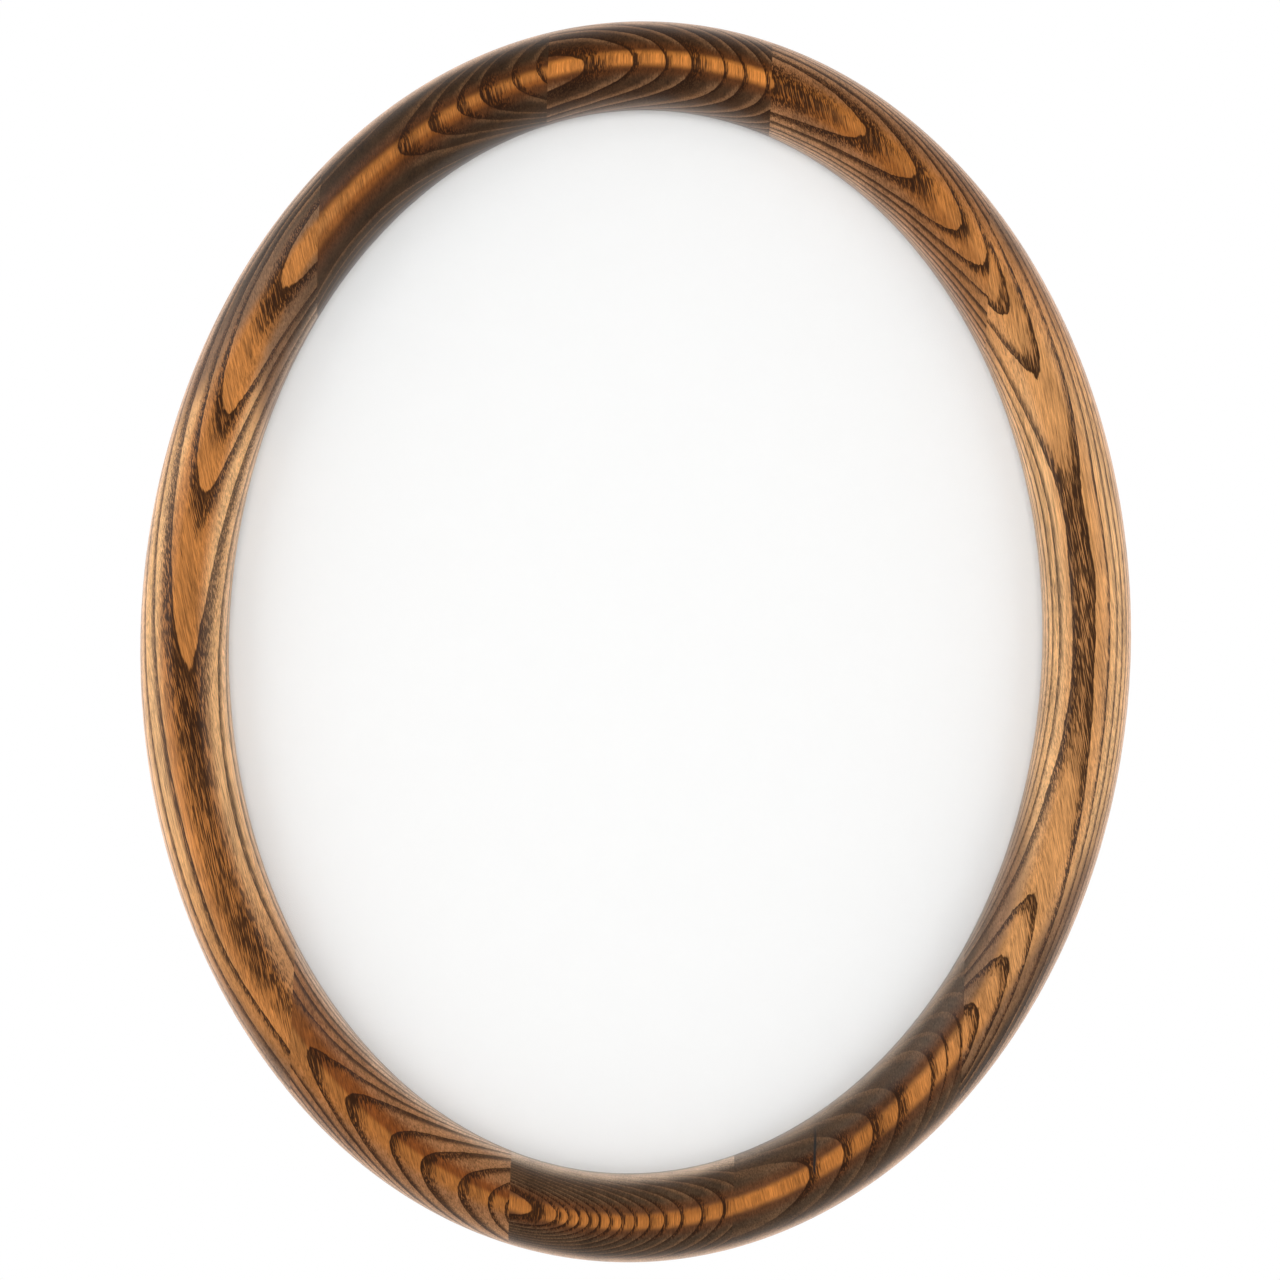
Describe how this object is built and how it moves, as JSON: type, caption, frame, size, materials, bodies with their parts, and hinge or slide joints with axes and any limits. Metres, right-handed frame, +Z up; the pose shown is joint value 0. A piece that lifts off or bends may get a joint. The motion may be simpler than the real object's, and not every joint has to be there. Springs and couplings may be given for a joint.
{
  "type": "oval picture frame",
  "caption": "Oval wooden wall picture frame with a half-round face, glass, blank mount, backing held by swivelling turn buttons, and a sawtooth hanger.",
  "frame": {"origin": "the place where the hanger's nail enters the wall, on the wall plane that the bumpers touch", "axes": "+Z up along the oval's long axis, -Y the way the picture faces, +X to the viewer's right"},
  "size_m": [0.251, 0.0235, 0.3144],
  "materials": {
    "left_wood": "toasted brown stain, satin lacquer",
    "upper_left_wood": "toasted brown stain, satin lacquer",
    "top_wood": "toasted brown stain, satin lacquer",
    "upper_right_wood": "toasted brown stain, satin lacquer",
    "right_wood": "toasted brown stain, satin lacquer",
    "lower_right_wood": "toasted brown stain, satin lacquer",
    "bottom_wood": "toasted brown stain, satin lacquer",
    "lower_left_wood": "toasted brown stain, satin lacquer",
    "glass": "clear",
    "mount_card": "matt white card",
    "backing_fibre": "hardboard",
    "button_brass": "plated, satin",
    "screw_steel": "zinc plated",
    "hanger_brass": "plated, satin",
    "nail_steel": "bright",
    "bumper_rubber": "matt black"
  },
  "bodies": {
    "frame": {"left_segment": "left_wood", "upper_left_segment": "upper_left_wood", "top_segment": "top_wood", "upper_right_segment": "upper_right_wood", "right_segment": "right_wood", "lower_right_segment": "lower_right_wood", "bottom_segment": "bottom_wood", "lower_left_segment": "lower_left_wood", "glass": "glass", "mount_board": "mount_card", "backing_board": "backing_fibre", "button_screws": "screw_steel", "sawtooth_hanger": "hanger_brass", "hanger_nails": "nail_steel", "wall_bumpers": "bumper_rubber"},
    "button_right": {"turn_button_right": "button_brass"},
    "button_upper_right": {"turn_button_upper_right": "button_brass"},
    "button_upper_left": {"turn_button_upper_left": "button_brass"},
    "button_left": {"turn_button_left": "button_brass"},
    "button_lower_left": {"turn_button_lower_left": "button_brass"},
    "button_lower_right": {"turn_button_lower_right": "button_brass"}
  },
  "joints": [
    {"name": "button_right_turn", "type": "hinge", "parent": "frame", "child": "button_right", "pos_m": [0.11735, -0.0024, -0.1447], "axis": [0, 1, 0], "continuous": true},
    {"name": "button_upper_right_turn", "type": "hinge", "parent": "frame", "child": "button_upper_right", "pos_m": [0.05867, -0.0024, -0.01558], "axis": [0, 1, 0], "continuous": true},
    {"name": "button_upper_left_turn", "type": "hinge", "parent": "frame", "child": "button_upper_left", "pos_m": [-0.05867, -0.0024, -0.01558], "axis": [0, 1, 0], "continuous": true},
    {"name": "button_left_turn", "type": "hinge", "parent": "frame", "child": "button_left", "pos_m": [-0.11735, -0.0024, -0.1447], "axis": [0, 1, 0], "continuous": true},
    {"name": "button_lower_left_turn", "type": "hinge", "parent": "frame", "child": "button_lower_left", "pos_m": [-0.05867, -0.0024, -0.27382], "axis": [0, 1, 0], "continuous": true},
    {"name": "button_lower_right_turn", "type": "hinge", "parent": "frame", "child": "button_lower_right", "pos_m": [0.05867, -0.0024, -0.27382], "axis": [0, 1, 0], "continuous": true}
  ]
}
